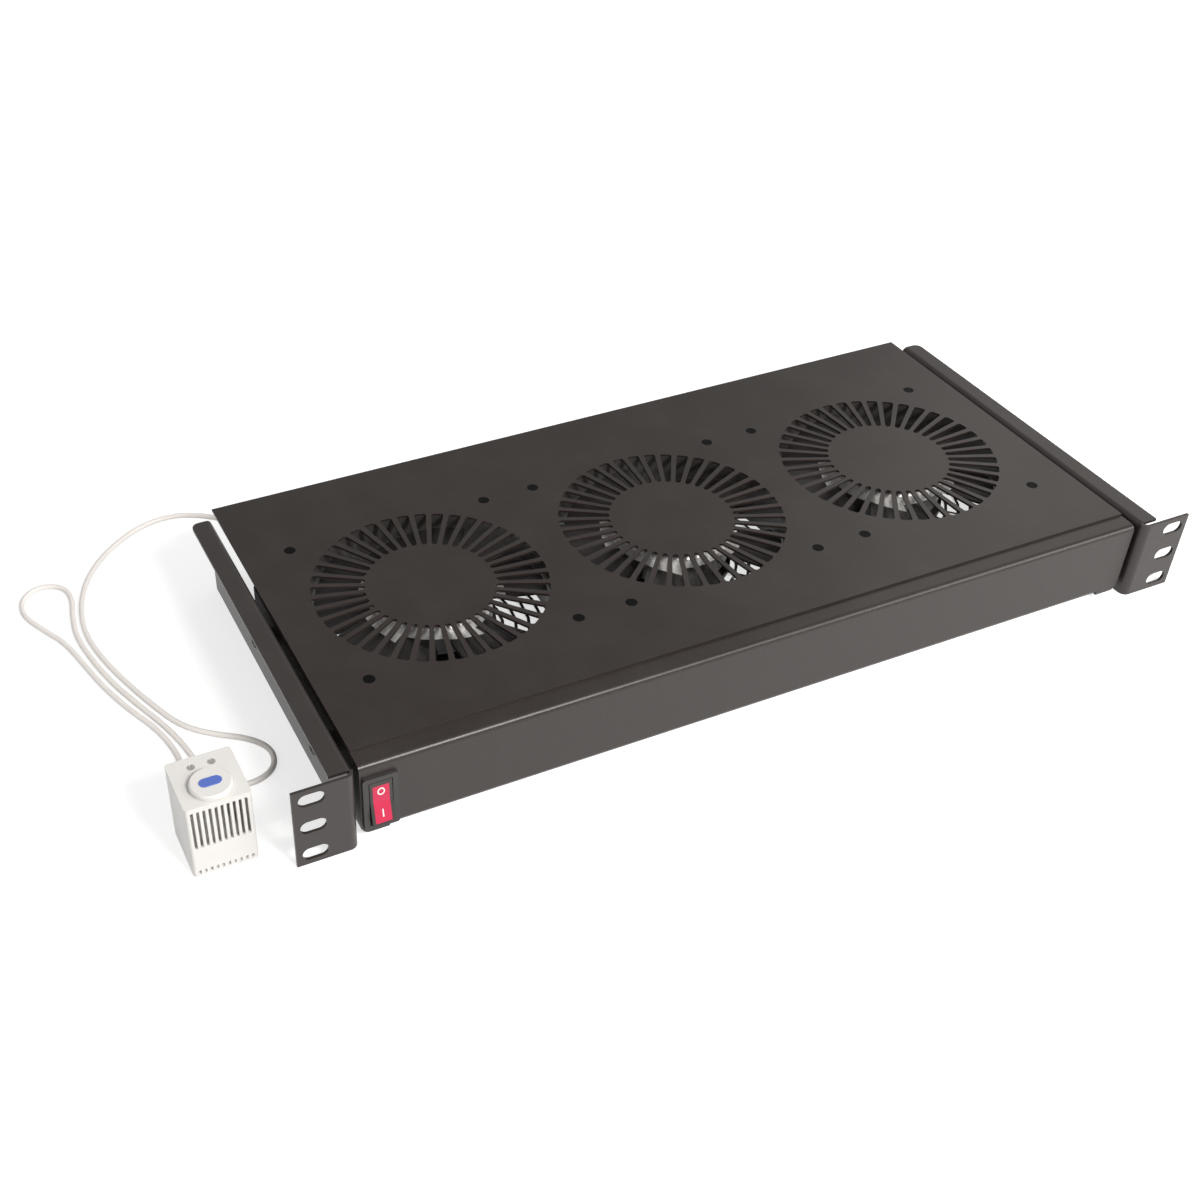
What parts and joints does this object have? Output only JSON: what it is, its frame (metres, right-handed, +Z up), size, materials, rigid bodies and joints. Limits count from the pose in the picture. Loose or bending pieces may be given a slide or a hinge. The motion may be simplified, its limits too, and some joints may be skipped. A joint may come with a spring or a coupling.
{
  "type": "rack fan tray",
  "caption": "Low rack-mount fan tray: sheet-metal box with fans under radial-slot grilles, ears, rocker switch, rear mains inlet and a corded thermostat.",
  "frame": {"origin": "centre of the hole pattern of the two rack ears, on the ears' rear faces, which seat on the rack's front rails", "axes": "+X to the right along the front, +Y from the front to the back, +Z up"},
  "size_m": [0.5534, 0.2725, 0.044],
  "materials": {
    "black_steel": "black oxide",
    "blade_black": "satin",
    "bracket_paint": "textured satin",
    "brass_tabs": "tinned",
    "cable_white": "satin",
    "clamp_steel": "zinc",
    "fan_casting": "satin",
    "grommet_rubber": "matte",
    "guard_wire": "bright",
    "rocker_red": "gloss",
    "rotor_steel": "satin",
    "stator_core": "varnished",
    "switch_black": "satin",
    "terminal_nylon": "satin",
    "thermostat_shell": "satin",
    "tray_paint": "textured satin",
    "zinc_steel": "bright zinc"
  },
  "bodies": {
    "tray": {"top_plate": "tray_paint", "front_panel": "tray_paint", "side_rail_right": "tray_paint", "side_rail_left": "tray_paint", "rear_panel": "tray_paint", "panel_studs": "zinc_steel", "panel_nuts": "zinc_steel", "bracket_right": "bracket_paint", "bracket_left": "bracket_paint", "bracket_screws": "zinc_steel", "bracket_spacers": "zinc_steel", "bracket_nuts": "zinc_steel", "fan_frame_1": "fan_casting", "stator_1": "stator_core", "finger_guard_1": "guard_wire", "fan_frame_2": "fan_casting", "stator_2": "stator_core", "finger_guard_2": "guard_wire", "fan_frame_3": "fan_casting", "stator_3": "stator_core", "finger_guard_3": "guard_wire", "fan_screws": "black_steel", "fan_nuts": "zinc_steel", "switch_body": "switch_black", "switch_tabs": "brass_tabs", "inlet_body": "switch_black", "inlet_pins": "brass_tabs", "terminal_block": "terminal_nylon", "cable_grommet": "grommet_rubber", "thermostat_base": "thermostat_shell", "thermostat_cover": "thermostat_shell", "thermostat_screws": "clamp_steel", "cable_bush": "thermostat_shell", "thermostat_cable": "cable_white"},
    "rotor_1": {"rotor_hub_1": "rotor_steel", "rotor_blades_1": "blade_black"},
    "rotor_2": {"rotor_hub_2": "rotor_steel", "rotor_blades_2": "blade_black"},
    "rotor_3": {"rotor_hub_3": "rotor_steel", "rotor_blades_3": "blade_black"},
    "rocker": {"switch_rocker": "rocker_red"},
    "dial": {"thermostat_dial": "thermostat_shell"}
  },
  "joints": [
    {"name": "rotor_1_spin", "type": "hinge", "parent": "tray", "child": "rotor_1", "pos_m": [-0.133, 0.1045, 0.0112], "axis": [0, 0, 1], "continuous": true},
    {"name": "rotor_2_spin", "type": "hinge", "parent": "tray", "child": "rotor_2", "pos_m": [0, 0.1045, 0.0112], "axis": [0, 0, 1], "continuous": true},
    {"name": "rotor_3_spin", "type": "hinge", "parent": "tray", "child": "rotor_3", "pos_m": [0.133, 0.1045, 0.0112], "axis": [0, 0, 1], "continuous": true},
    {"name": "rocker_tilt", "type": "hinge", "parent": "tray", "child": "rocker", "pos_m": [-0.201, 0.0051, -0.0011], "axis": [1, 0, 0], "range_deg": [0, 14]},
    {"name": "dial_turn", "type": "hinge", "parent": "tray", "child": "dial", "pos_m": [-0.2685, 0.021, 0.0185], "axis": [0, 0, 1], "range_deg": [-135, 135]}
  ]
}
